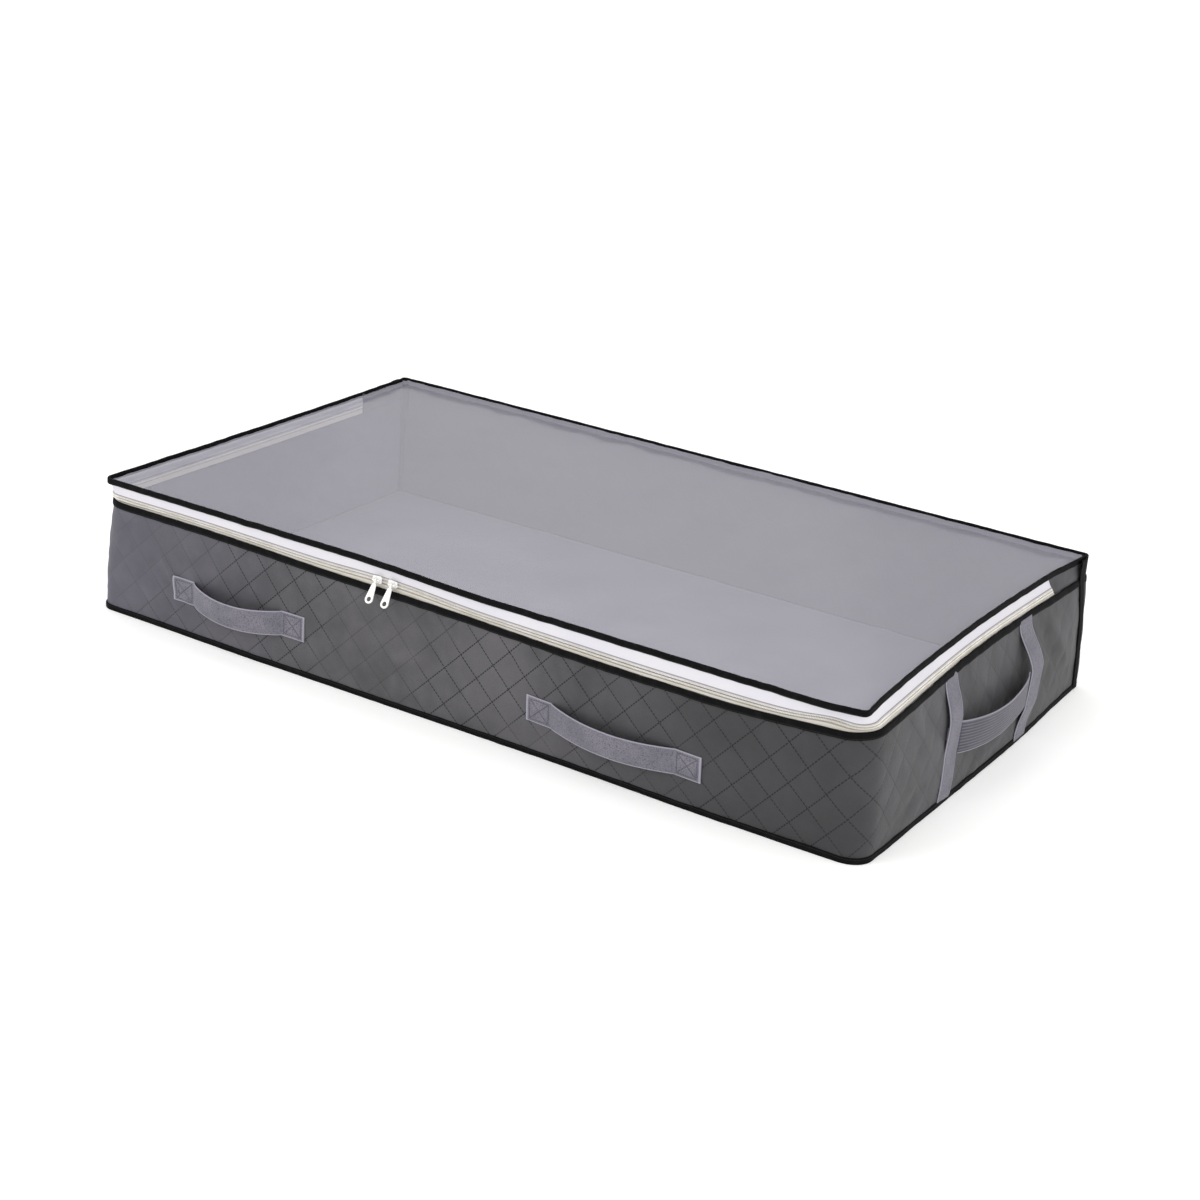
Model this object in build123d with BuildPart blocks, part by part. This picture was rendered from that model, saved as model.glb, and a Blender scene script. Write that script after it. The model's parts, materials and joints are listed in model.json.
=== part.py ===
# Under bed box: a low zipped storage bag sewn from fabric panels, with a clear window in its lid,
# two webbing handles on the front and an H-shaped webbing handle on each end.
# Millimetres. +X runs along the box, -Y is its front, +Z is up. The origin is the centre of the
# underside, and the bag stands on Z = 0.
import os

from build123d import *

os.makedirs("parts", exist_ok=True)

# Overall size, over the bindings
box_length = 1000.0
box_width = 590.0
box_height = 165.0

# Fabric panels and their bound seams
panel_thickness = 1.5
corner_radius = 28.0  # the two front corners, at the wall's outer face
binding_proud = 2.0  # how far the bottom and corner bindings stand outside the wall
bottom_binding_height = 7.0
corner_binding_width = 9.0
rim_binding_height = 7.5
rim_binding_thickness = 1.5

# Lid: window, and the binding that wraps its upright seam
lid_binding_height = 7.0
lid_binding_thickness = 0.9
lid_cap_thickness = 1.0
window_thickness = 0.5
window_drop = 8.0  # the window's underside, below the top of its binding
inner_leg_height = 6.0
fold_from_back = 88.0  # the lid folds along a line this far in front of the back wall's outer face
fold_clearance = 0.2  # between that line and the pieces on each side of it

# Zipper: two tapes with a coil on each, which show between the rim binding and the lid binding
zipper_band = 18.5
tape_thickness = 0.8
tape_hem = 5.0  # how far the lower tape reaches down behind the wall
tape_gap = 2.0
coil_rise = 5.0  # the line where the coils meet, above the rim binding
coil_height = 2.8
coil_gap = 1.2
coil_proud = 0.3  # how far the coils stand outside the wall

# Zipper sliders and their pull tabs
slider_places = {"left": -97.0, "right": -76.0}
slider_length = 12.0
slider_wide_end = 9.0
slider_narrow_end = 7.0
slider_plate = 1.0
slider_corner = 2.0
front_plate_clearance = 1.0
back_plate_clearance = 0.5
slider_post_length = 3.0
slider_post_thickness = 0.7
bridge_leg_length = 1.2
bridge_leg_width = 2.0
bridge_leg_height = 3.2
bridge_span = 7.6  # between the middles of the two legs
bridge_bar_radius = 0.7
bridge_bar_out = 2.4  # the bar's axis, in front of the front plate
pull_eye_radius = 1.9
pull_eye_bore_radius = 1.0
pull_eye_width = 2.4
pull_length = 27.0  # from the bridge bar to the tab's lower end
pull_shoulder_width = 5.0
pull_shoulder_drop = 5.0
pull_ring_radius = 5.0
pull_hole_radius = 2.7
pull_thickness = 1.4
pull_lean = 30.0  # degrees out from hanging straight down

# Front handles: a length of webbing, each end sewn flat to the wall
# Middle along X, level, and length from end to end
front_handle_places = {"left": (-290.0, 58.0, 192.0), "right": (216.0, 54.0, 216.0)}
webbing_thickness = 2.0
front_webbing_width = 30.0
front_patch_length = 32.0
front_root_length = 8.0  # stays with the sewn end
front_handle_bulge = 20.0
front_handle_sag = 5.0
front_handle_slope = 0.6  # how steeply the grip leaves the wall, as a rise over a run
grip_clearance = 0.3  # between a grip and its sewn ends, which are one length of webbing

# End handles: two uprights from rim to bottom, and a wider grip that passes under them
upright_width = 32.0
upright_thickness = 1.5
upright_places = (-97.0, 108.0)  # along Y
upright_bulges = (6.0, 18.0)  # how far the grip's ends are pulled out from the wall
upright_bend_radius = 10.0
upright_over_grip = 0.1
upright_landing = 5.5  # straight stretch of an upright above and below the grip
upright_foot = 6.0  # straight stretch against the wall at each end of an upright
end_webbing_width = 38.0
end_handle_share = 0.5  # the grip's level, as a share of the height of the rim binding's lower edge
end_grip_bulge = 22.0
end_grip_sag = 4.0
end_root_length = 8.0

# Worked-out places
half_length = box_length / 2 - binding_proud
half_width = box_width / 2 - binding_proud
rim_top = box_height - lid_binding_height - zipper_band
rim_bottom = rim_top - rim_binding_height
end_handle_level = end_handle_share * rim_bottom
coil_level = rim_top + coil_rise
cap_underside = box_height - lid_cap_thickness
lid_binding_bottom = box_height - lid_binding_height
window_level = box_height - window_drop
fold_line = half_width - fold_from_back
lid_end = fold_line - fold_clearance  # where the lid's pieces and the zipper end
rear_start = fold_line + fold_clearance  # where the pieces behind the fold line start
tape_inner = panel_thickness + tape_thickness
window_edge_inner = tape_inner + window_thickness
lid_leg_outer = panel_thickness - lid_binding_thickness
lid_leg_inner = window_edge_inner + lid_binding_thickness
coil_lower = coil_level - coil_gap / 2 - coil_height
coil_upper = coil_level + coil_gap / 2
overrun = 10.0  # how far a cutting shape runs past what it cuts

front_face = Plane(origin=(0, -half_width, 0), x_dir=(1, 0, 0), z_dir=(0, -1, 0))
end_faces = {
    "left": Plane(origin=(-half_length, 0, 0), x_dir=(0, -1, 0), z_dir=(-1, 0, 0)),
    "right": Plane(origin=(half_length, 0, 0), x_dir=(0, 1, 0), z_dir=(1, 0, 0)),
}


def save(part, name):
    """Labels a finished piece and writes its STEP file."""
    part.label = name
    export_step(part, f"parts/{name}.step")


def footprint(inset, back, mode=Mode.ADD):
    """Plan outline of the bag, moved in from the wall's outer face, and ending at Y = back."""
    side = half_length - inset
    front = -half_width + inset
    corners = ((side, back), (side, front), (-side, front), (-side, back))
    with BuildLine() as outline:
        FilletPolyline(*corners, radius=corner_radius - inset)
        Line((-side, back), (side, back))
    make_face(outline.edges(), mode=mode)


def strip(outer, inner, low, high, back):
    """A strip that runs along one end, the front and the other end, and stops at Y = back."""
    with BuildSketch(Plane.XY.offset(low)) as plan:
        footprint(outer, back)
        footprint(inner, back + overrun, mode=Mode.SUBTRACT)
    extrude(plan.sketch, amount=high - low)


def plan_plane(face, level):
    """Looks down on a wall: its first axis runs along the wall, and its second points outwards."""
    return Plane(origin=face.from_local_coords((0, level, 0)), x_dir=face.x_dir, z_dir=-face.y_dir)


def section_plane(face, along):
    """Cuts a wall upright: its first axis points outwards, and its second points up."""
    return Plane(origin=face.from_local_coords((along, 0, 0)), x_dir=face.z_dir, z_dir=-face.x_dir)


def webbing_strap(face, level, ends, roots, outs, bulge, sag, width, slope=0.0):
    """One length of webbing: flat between each end and its root, and between the roots bowed out,
    leaving them at this slope, and sagging."""
    middle = (roots[0] + roots[1]) / 2
    reach = width + sag
    with BuildPart() as strap:
        with BuildSketch(plan_plane(face, level - reach)):
            with BuildLine():
                Line((ends[0], outs[0]), (roots[0], outs[0]))
                Spline(
                    (roots[0], outs[0]),
                    (middle, bulge),
                    (roots[1], outs[1]),
                    tangents=((1, slope), (1, -slope)),
                )
                Line((roots[1], outs[1]), (ends[1], outs[1]))
            trace(line_width=webbing_thickness)
        extrude(amount=-2 * reach)
        with BuildSketch(face):
            with BuildLine():
                Line((ends[0], level), (roots[0], level))
                Spline((roots[0], level), (middle, level - sag), (roots[1], level), tangents=((1, 0), (1, 0)))
                Line((roots[1], level), (ends[1], level))
            trace(line_width=width)
        extrude(amount=bulge + overrun, mode=Mode.INTERSECT)
    return strap.part


def cut_to_grip(face, level, low, high, mode):
    """Keeps or removes the stretch of a strap between two places along the wall."""
    with BuildSketch(face) as stretch:
        with Locations(((low + high) / 2, level)):
            Rectangle(high - low, box_height)
    extrude(stretch.sketch, amount=half_width, mode=mode)


def handle(name, face, level, strap, roots, root_length):
    """Splits a strap into its two sewn ends and the grip between them, and writes both."""
    low = roots[0] + root_length
    high = roots[1] - root_length
    with BuildPart() as sewn_ends:
        add(strap)
        cut_to_grip(face, level, low, high, Mode.SUBTRACT)
    save(sewn_ends.part, f"{name}_ends")
    with BuildPart() as grip:
        add(strap)
        cut_to_grip(face, level, low + grip_clearance, high - grip_clearance, Mode.INTERSECT)
    save(grip.part, f"{name}_grip")


# Bottom panel: one layer of fabric, the full footprint of the walls
with BuildPart() as bottom_panel:
    with BuildSketch(Plane.XY):
        footprint(0, half_width)
    extrude(amount=panel_thickness)
save(bottom_panel.part, "bottom_panel")

# Wall: one strip of fabric round both ends and the front
with BuildPart() as wrap_wall:
    strip(0, panel_thickness, panel_thickness, rim_top, half_width)
save(wrap_wall.part, "wrap_wall")

# Back wall: one panel, from the bottom to the lid's seam, between the ends of the wall strip
with BuildPart() as back_wall:
    with BuildSketch(Plane.XY.offset(panel_thickness)):
        with Locations((0, half_width - panel_thickness / 2)):
            Rectangle(2 * (half_length - panel_thickness), panel_thickness)
    extrude(amount=cap_underside - panel_thickness)
save(back_wall.part, "back_wall")

# Bottom binding: tape over the bottom seam, all round
with BuildPart() as bottom_binding:
    with BuildSketch(Plane.XY):
        footprint(-binding_proud, half_width + binding_proud)
        footprint(0, half_width, mode=Mode.SUBTRACT)
    extrude(amount=bottom_binding_height)
save(bottom_binding.part, "bottom_binding")

# Rim binding: tape over the seam between the wall and the zipper
corner_binding_front = half_width - corner_binding_width
with BuildPart() as rim_binding:
    strip(-rim_binding_thickness, 0, rim_bottom, rim_top, corner_binding_front)
save(rim_binding.part, "rim_binding")

# Corner bindings: tape over the two upright seams at the back. Above the wall strip each one is
# filled in behind, so that it still meets the zipper's end tab.
for side, direction in (("left", -1), ("right", 1)):
    corner = direction * half_length
    with BuildPart() as corner_binding:
        with BuildSketch(Plane.XY.offset(bottom_binding_height)):
            with BuildLine():
                Polyline(
                    (corner, half_width),
                    (corner, corner_binding_front),
                    (corner + direction * binding_proud, corner_binding_front),
                    (corner + direction * binding_proud, half_width + binding_proud),
                    (corner - direction * corner_binding_width, half_width + binding_proud),
                    (corner - direction * corner_binding_width, half_width),
                    close=True,
                )
            make_face()
        extrude(amount=lid_binding_bottom - bottom_binding_height)
        with BuildSketch(Plane.XY.offset(rim_top)):
            with Locations(
                (corner - direction * panel_thickness / 2, half_width - corner_binding_width / 2)
            ):
                Rectangle(panel_thickness, corner_binding_width)
        extrude(amount=lid_binding_bottom - rim_top)
    save(corner_binding.part, f"corner_binding_{side}")

# Lower zipper tape and coil: sewn into the rim, as far as the fold line
with BuildPart() as lower_zipper_tape:
    strip(panel_thickness, tape_inner, rim_top - tape_hem, coil_level - tape_gap / 2, lid_end)
save(lower_zipper_tape.part, "lower_zipper_tape")

with BuildPart() as lower_zipper_coil:
    strip(-coil_proud, panel_thickness, coil_lower, coil_lower + coil_height, lid_end)
save(lower_zipper_coil.part, "lower_zipper_coil")

# Upper zipper tape and coil: sewn into the lid's seam
with BuildPart() as upper_zipper_tape:
    strip(panel_thickness, tape_inner, coil_level + tape_gap / 2, cap_underside, lid_end)
save(upper_zipper_tape.part, "upper_zipper_tape")

with BuildPart() as upper_zipper_coil:
    strip(-coil_proud, panel_thickness, coil_upper, coil_upper + coil_height, lid_end)
save(upper_zipper_coil.part, "upper_zipper_coil")

# Zipper end tabs: fabric that fills the zipper band from the zipper's end to the back corner
tab_back = half_width - panel_thickness
tab_middle = half_length - panel_thickness - tape_thickness / 2
for side, direction in (("left", -1), ("right", 1)):
    with BuildPart() as zipper_end_tab:
        with BuildSketch(Plane.XY.offset(rim_top - tape_hem)):
            with Locations((direction * tab_middle, (rear_start + tab_back) / 2)):
                Rectangle(tape_thickness, tab_back - rear_start)
        extrude(amount=cap_underside - rim_top + tape_hem)
    save(zipper_end_tab.part, f"zipper_end_tab_{side}")

# Clear window: a sheet whose edge turns up into the lid's seam, in front of the fold line
with BuildPart() as clear_window:
    with BuildSketch(Plane.XY.offset(window_level)):
        footprint(tape_inner, lid_end)
    extrude(amount=window_thickness)
    strip(tape_inner, window_edge_inner, window_level + window_thickness, cap_underside, lid_end)
save(clear_window.part, "clear_window")

# Lid binding: tape folded over the window's edge and the zipper tape
with BuildPart() as lid_binding:
    strip(lid_leg_outer, panel_thickness, lid_binding_bottom, cap_underside, lid_end)
    strip(lid_leg_outer, lid_leg_inner, cap_underside, box_height, lid_end)
    strip(window_edge_inner, lid_leg_inner, cap_underside - inner_leg_height, cap_underside, lid_end)
save(lid_binding.part, "lid_binding")

# Rear strip of the window, behind the fold line. Its back edge turns up against the back wall.
window_side = half_length - tape_inner
window_back = half_width - panel_thickness
with BuildPart() as window_rear_strip:
    with BuildSketch(Plane.XY.offset(window_level)):
        with Locations((0, (rear_start + window_back) / 2)):
            Rectangle(2 * window_side, window_back - rear_start)
    extrude(amount=window_thickness)
    with BuildSketch(Plane.XY.offset(window_level + window_thickness)):
        with Locations((0, (rear_start + window_back) / 2)):
            Rectangle(2 * window_side, window_back - rear_start)
        with Locations((0, (rear_start + window_back) / 2 - window_thickness)):
            Rectangle(
                2 * (window_side - window_thickness),
                window_back - rear_start,
                mode=Mode.SUBTRACT,
            )
    extrude(amount=cap_underside - window_level - window_thickness)
save(window_rear_strip.part, "window_rear_strip")


def rear_ring(outer_side, outer_back, inner_side, inner_back, low, high):
    """A strip that runs from the fold line round the back, between an outer and an inner outline."""
    with BuildSketch(Plane.XY.offset(low)) as plan:
        with Locations((0, (rear_start + outer_back) / 2)):
            Rectangle(2 * outer_side, outer_back - rear_start)
        with Locations((0, (rear_start - overrun + inner_back) / 2)):
            Rectangle(2 * inner_side, inner_back - rear_start + overrun, mode=Mode.SUBTRACT)
    extrude(plan.sketch, amount=high - low)


# Rear lid binding: the same tape, round the rear strip
outer_side = half_length - lid_leg_outer
outer_back = half_width + lid_binding_thickness
inner_side = half_length - lid_leg_inner
inner_back = window_back - window_thickness - lid_binding_thickness
with BuildPart() as rear_lid_binding:
    rear_ring(
        outer_side,
        outer_back,
        half_length - panel_thickness,
        half_width,
        lid_binding_bottom,
        cap_underside,
    )
    rear_ring(outer_side, outer_back, inner_side, inner_back, cap_underside, box_height)
    rear_ring(
        half_length - window_edge_inner,
        window_back - window_thickness,
        inner_side,
        inner_back,
        cap_underside - inner_leg_height,
        cap_underside,
    )
save(rear_lid_binding.part, "rear_lid_binding")

# Zipper sliders: a plate in front of the coils and one behind the tapes, a post between them, and a
# bridge whose bar carries the pull tab. The wide ends of the two sliders face each other.
front_plate_out = coil_proud + front_plate_clearance
bridge_foot_out = front_plate_out + slider_plate
bar_out = bridge_foot_out + bridge_bar_out
back_plate_in = tape_inner + back_plate_clearance
for side, direction in (("left", 1), ("right", -1)):
    place = slider_places[side]
    with BuildPart() as zipper_slider:
        for out in (front_plate_out, -back_plate_in - slider_plate):
            with BuildSketch(front_face.offset(out)) as plate:
                with BuildLine():
                    Polyline(
                        (place - direction * slider_length / 2, coil_level - slider_narrow_end / 2),
                        (place + direction * slider_length / 2, coil_level - slider_wide_end / 2),
                        (place + direction * slider_length / 2, coil_level + slider_wide_end / 2),
                        (place - direction * slider_length / 2, coil_level + slider_narrow_end / 2),
                        close=True,
                    )
                make_face()
                fillet(plate.vertices(), radius=slider_corner)
            extrude(amount=slider_plate)
        with BuildSketch(front_face.offset(-back_plate_in)):
            with Locations((place + direction * (slider_length / 2 - slider_post_length), coil_level)):
                Rectangle(slider_post_length, slider_post_thickness)
        extrude(amount=back_plate_in + front_plate_out)
        with BuildSketch(front_face.offset(bridge_foot_out)):
            with Locations((place - bridge_span / 2, coil_level), (place + bridge_span / 2, coil_level)):
                Rectangle(bridge_leg_length, bridge_leg_width)
        extrude(amount=bridge_leg_height)
        with BuildSketch(Plane.YZ.offset(place - bridge_span / 2)):
            with Locations((-half_width - bar_out, coil_level)):
                Circle(bridge_bar_radius)
        extrude(amount=bridge_span)
    save(zipper_slider.part, f"zipper_slider_{side}")

# Pull tabs: an eye round the bridge bar, a tapered tab, and a ring end
lean_out = Vector(0, -1, 0).rotate(Axis.X, -pull_lean)
for side in ("left", "right"):
    place = slider_places[side]
    tab_plane = Plane(origin=(place, -half_width - bar_out, coil_level), x_dir=(1, 0, 0), z_dir=lean_out)
    with BuildPart() as pull_tab:
        with BuildSketch(Plane.YZ.offset(place - pull_eye_width / 2)):
            with Locations((-half_width - bar_out, coil_level)):
                Circle(pull_eye_radius)
        extrude(amount=pull_eye_width)
        with BuildSketch(tab_plane.offset(-pull_thickness / 2)):
            with Locations((0, -(pull_eye_bore_radius + pull_shoulder_drop) / 2)):
                Rectangle(pull_eye_width, pull_shoulder_drop - pull_eye_bore_radius + pull_thickness)
        extrude(amount=pull_thickness)
        with BuildSketch(tab_plane.offset(-pull_thickness / 2)):
            with Locations((0, -pull_length + pull_ring_radius)):
                Circle(pull_ring_radius)
            with Locations((0, -pull_shoulder_drop)):
                Rectangle(pull_shoulder_width, pull_thickness)
            make_hull()
            with Locations((0, -pull_length + pull_ring_radius)):
                Circle(pull_hole_radius, mode=Mode.SUBTRACT)
        extrude(amount=pull_thickness)
        with BuildSketch(Plane.YZ.offset(place - pull_eye_width / 2)):
            with Locations((-half_width - bar_out, coil_level)):
                Circle(pull_eye_bore_radius)
        extrude(amount=pull_eye_width, mode=Mode.SUBTRACT)
    save(pull_tab.part, f"pull_tab_{side}")

# Front handles
for side, (middle, level, span) in front_handle_places.items():
    ends = (middle - span / 2, middle + span / 2)
    roots = (ends[0] + front_patch_length, ends[1] - front_patch_length)
    sewn_out = webbing_thickness / 2
    strap = webbing_strap(
        front_face,
        level,
        ends,
        roots,
        (sewn_out, sewn_out),
        front_handle_bulge,
        front_handle_sag,
        front_webbing_width,
        front_handle_slope,
    )
    handle(f"front_handle_{side}", front_face, level, strap, roots, front_root_length)

# End handles: the grip's ends lie between the wall and the two uprights, which hold them
for side, face in end_faces.items():
    places = [face.to_local_coords(Vector(0, place, 0)).X for place in upright_places]
    bulges = dict(zip(places, upright_bulges))
    low, high = sorted(places)
    ends = (low - upright_width / 2, high + upright_width / 2)
    roots = (low + upright_width / 2, high - upright_width / 2)
    strap = webbing_strap(
        face,
        end_handle_level,
        ends,
        roots,
        (bulges[low], bulges[high]),
        end_grip_bulge,
        end_grip_sag,
        end_webbing_width,
    )
    handle(f"end_handle_{side}", face, end_handle_level, strap, roots, end_root_length)

    sewn_out = upright_thickness / 2
    landing = end_webbing_width / 2 + upright_landing
    with BuildPart() as uprights:
        for place, bulge in bulges.items():
            crest = bulge + webbing_thickness / 2 + upright_over_grip + upright_thickness / 2
            with BuildSketch(section_plane(face, place)):
                with BuildLine():
                    FilletPolyline(
                        (sewn_out, bottom_binding_height),
                        (sewn_out, bottom_binding_height + upright_foot),
                        (crest, end_handle_level - landing),
                        (crest, end_handle_level + landing),
                        (sewn_out, rim_bottom - upright_foot),
                        (sewn_out, rim_bottom),
                        radius=upright_bend_radius,
                    )
                trace(line_width=upright_thickness)
            extrude(amount=upright_width / 2, both=True)
    save(uprights.part, f"end_handle_{side}_uprights")
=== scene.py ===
import json
import math

import bmesh
import bpy
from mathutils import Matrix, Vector, noise


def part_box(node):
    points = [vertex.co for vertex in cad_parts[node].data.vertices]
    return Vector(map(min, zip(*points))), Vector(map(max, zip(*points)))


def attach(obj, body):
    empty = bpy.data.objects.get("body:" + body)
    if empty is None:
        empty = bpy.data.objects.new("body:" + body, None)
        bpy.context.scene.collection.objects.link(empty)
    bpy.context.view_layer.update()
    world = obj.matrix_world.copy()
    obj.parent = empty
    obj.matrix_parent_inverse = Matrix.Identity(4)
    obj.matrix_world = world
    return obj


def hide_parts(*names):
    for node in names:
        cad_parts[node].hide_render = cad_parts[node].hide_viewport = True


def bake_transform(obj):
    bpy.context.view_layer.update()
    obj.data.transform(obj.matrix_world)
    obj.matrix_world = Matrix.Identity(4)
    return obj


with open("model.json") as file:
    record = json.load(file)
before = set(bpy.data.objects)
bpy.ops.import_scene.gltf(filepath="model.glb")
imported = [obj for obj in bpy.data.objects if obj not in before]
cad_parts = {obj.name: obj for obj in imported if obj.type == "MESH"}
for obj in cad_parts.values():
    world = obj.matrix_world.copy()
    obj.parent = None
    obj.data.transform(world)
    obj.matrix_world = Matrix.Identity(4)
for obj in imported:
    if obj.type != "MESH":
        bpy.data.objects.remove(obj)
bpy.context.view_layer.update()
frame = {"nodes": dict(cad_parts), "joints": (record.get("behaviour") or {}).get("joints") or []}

# Room: a plain pale floor, soft daylight from all round, lamps on three sides, the back one
# for the glare on the vinyl, and the camera, which looks down on the bag's front right corner.


def colour(*screen):
    """A shader colour from three screen values of 0 to 255."""
    linear = (((c / 255 + 0.055) / 1.055) ** 2.4 if c > 10 else c / 3295 for c in screen)
    return (*linear, 1.0)


def material(name, **settings):
    """A new material, with these settings on its one shader."""
    made = bpy.data.materials.new(name)
    made.use_nodes = True
    for socket, value in settings.items():
        made.node_tree.nodes["Principled BSDF"].inputs[socket.replace("_", " ")].default_value = value
    return made


scene = bpy.context.scene
scene.view_settings.view_transform = "Standard"
floor_shape = bmesh.new()
bmesh.ops.create_grid(floor_shape, x_segments=1, y_segments=1, size=40)
floor_mesh = bpy.data.meshes.new("floor")
floor_shape.to_mesh(floor_mesh)
floor = bpy.data.objects.new("floor", floor_mesh)
scene.collection.objects.link(floor)
pale_floor = material(
    "pale_floor",
    Base_Color=(0.93, 0.93, 0.925, 1),
    Roughness=0.9,
    Emission_Color=(1, 1, 1, 1),
    Emission_Strength=0.20,
)
floor_mesh.materials.append(pale_floor)

scene.world = bpy.data.worlds.new("daylight")
scene.world.use_nodes = True
daylight = scene.world.node_tree.nodes["Background"].inputs
daylight["Color"].default_value = (1.0, 1.0, 0.995, 1)
daylight["Strength"].default_value = 1.0

for name, place, power, size in (
    ("key_lamp", (-1.6, -2.6, 2.6), 34, 2.2),
    ("side_lamp", (3.0, -0.6, 1.8), 16, 2.0),
    ("back_lamp", (-1.5, 2.5, 1.15), 2, 1.3),
):
    lamp = bpy.data.lights.new(name, "AREA")
    lamp.energy = power
    lamp.size = size
    lamp_object = bpy.data.objects.new(name, lamp)
    lamp_object.location = place
    lamp_object.rotation_euler = (-Vector(place)).to_track_quat("-Z", "Y").to_euler()
    scene.collection.objects.link(lamp_object)

azimuth, elevation, tilt = (math.radians(a) for a in (30.579, 21.449, 4.478))
outward = math.cos(elevation)
away = Vector((math.sin(azimuth) * outward, -math.cos(azimuth) * outward, math.sin(elevation)))
level_right = Vector((math.cos(azimuth), math.sin(azimuth), 0))
level_up = away.cross(level_right)
right = level_right * math.cos(tilt) + level_up * math.sin(tilt)
up = level_up * math.cos(tilt) - level_right * math.sin(tilt)
camera_data = bpy.data.cameras.new("camera")
camera_data.lens = 70.97
camera_data.sensor_width = 36
camera = bpy.data.objects.new("camera", camera_data)
camera.rotation_mode = "QUATERNION"
turn = camera.matrix_world.to_3x3()
turn.col[0], turn.col[1], turn.col[2] = right, up, away
camera.rotation_quaternion = turn.to_quaternion()
camera.location = (1.3263, -2.2272, 1.0788)
scene.collection.objects.link(camera)
scene.camera = camera

# Walls: one strip of grey non-woven fabric round both ends and the front, embossed with dashed
# diamonds, and a plain back panel. Full of clothes the front sags a little and bows out under the
# zipper, most on the right, and the fabric puckers along its seams.

wall_low, wall_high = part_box("wrap_wall")
half_length, half_width = wall_high.x, -wall_low.y
rim_level = wall_high.z
lid_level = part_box("lid_binding")[1].z
corner_radius, corner_run, quarter_turn = 0.028, 0.044, 1.5708
front_run = half_length - corner_radius
side_run = 2 * half_width - corner_radius
wall_reach = front_run + corner_run + side_run
fold_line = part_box("clear_window")[1].y


def mix(a, b, share):
    return a + (b - a) * share


def ease(share):
    """0 below 0, 1 above 1, and a smooth step between."""
    share = min(1.0, max(0.0, share))
    return share * share * (3 - 2 * share)


def around(run, out, front=corner_radius, back=0.0):
    """Place in plan, run metres round the bag from the middle of its front and out metres outside
    its seam line, and the way that the bag faces there. front and back are its corners' radii."""
    side, left = math.copysign(1, run), abs(run)
    x, y, face_x, face_y = half_length, half_width, 1.0, 0.0
    if left < front_run:
        x, y, face_x, face_y = left / front_run * (half_length - front), -half_width, 0.0, -1.0
    elif left < front_run + corner_run:
        angle = (left - front_run) / corner_run * math.pi / 2
        face_x, face_y = math.sin(angle), -math.cos(angle)
        x, y = half_length - front + front * face_x, front - half_width + front * face_y
    elif left <= front_run + corner_run + side_run:
        y = mix(front - half_width, half_width - back, (left - front_run - corner_run) / side_run)
    else:
        left -= front_run + corner_run + side_run
        angle = min(1.0, left / max(back * quarter_turn, 1e-6)) * math.pi / 2
        face_x, face_y = math.cos(angle), math.sin(angle)
        x, y = half_length - back + back * face_x, half_width - back + back * face_y
        x -= max(0.0, left - back * quarter_turn)
    return Vector((side * (x + face_x * out), y + face_y * out, 0)), Vector((side * face_x, face_y, 0))


def side_share(run):
    """How far back along an end, from 0 at the front corner to 1 at the back one."""
    return min(1.0, max(0.0, (abs(run) - front_run - corner_run) / side_run))


def run_at(y):
    """How far round the bag the ends are y metres back."""
    return front_run + corner_run + (y - (corner_radius - half_width))


def foot_swell(run):
    """How far the wall's foot flares out, most along the right end."""
    share, turned = side_share(run), ease((abs(run) - front_run) / corner_run)
    if run > 0:
        return mix(0.005 * ease((run - 0.10) / 0.25), mix(0.009, 0.002, ease((share - 0.6) / 0.4)), turned)
    return mix(-0.003 * ease((-0.25 - run) / 0.2), 0.0055 * (1 - ease(share / 0.6)), turned)


def rim_place(run):
    """Height and outward swell of the wall's top edge: it sags and bows out along the front, and
    leans in along the right end."""
    sag = 0.0045 * ease((run + 0.36) / 0.25) * ease((0.56 - run) / 0.20)
    bow = 0.0142 * ease((run + 0.10) / 0.36) * ease((0.53 - run) / 0.21)
    share, turned = side_share(run), ease((abs(run) - front_run) / corner_run)
    arched = math.sin(math.pi * share)
    lean = turned * (0.010 * max(0.0, arched) ** 1.5 + 0.0065 * share if run > 0 else 0.002 * arched)
    return rim_level - sag, bow - lean


def lid_place(run):
    """How far the lid's edge sags, and its outward swell, which is inward along the ends."""
    slack = ease((run + 0.14) / 0.20) * ease((0.50 - run) / 0.08)
    share, turned = side_share(run), ease((abs(run) - front_run) / corner_run)
    arched = math.sin(math.pi * share)
    lean = 0.005 + 0.0115 * max(0.0, arched) ** 0.8 + 0.0015 * share
    lean += 0.003 * share * ease((1 - share) / 0.15)
    lean = turned * (lean if run > 0 else 0.003 * arched)
    return 0.0028 * slack, 0.0045 * slack - lean


def back_lean(x, height):
    """How far along X the back of the bag stands off its seams: its right corner leans in."""
    return mix(0.002, -0.0065, min(1.0, max(0.0, height / rim_level)) ** 1.4) * ease(x / half_length)


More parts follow.
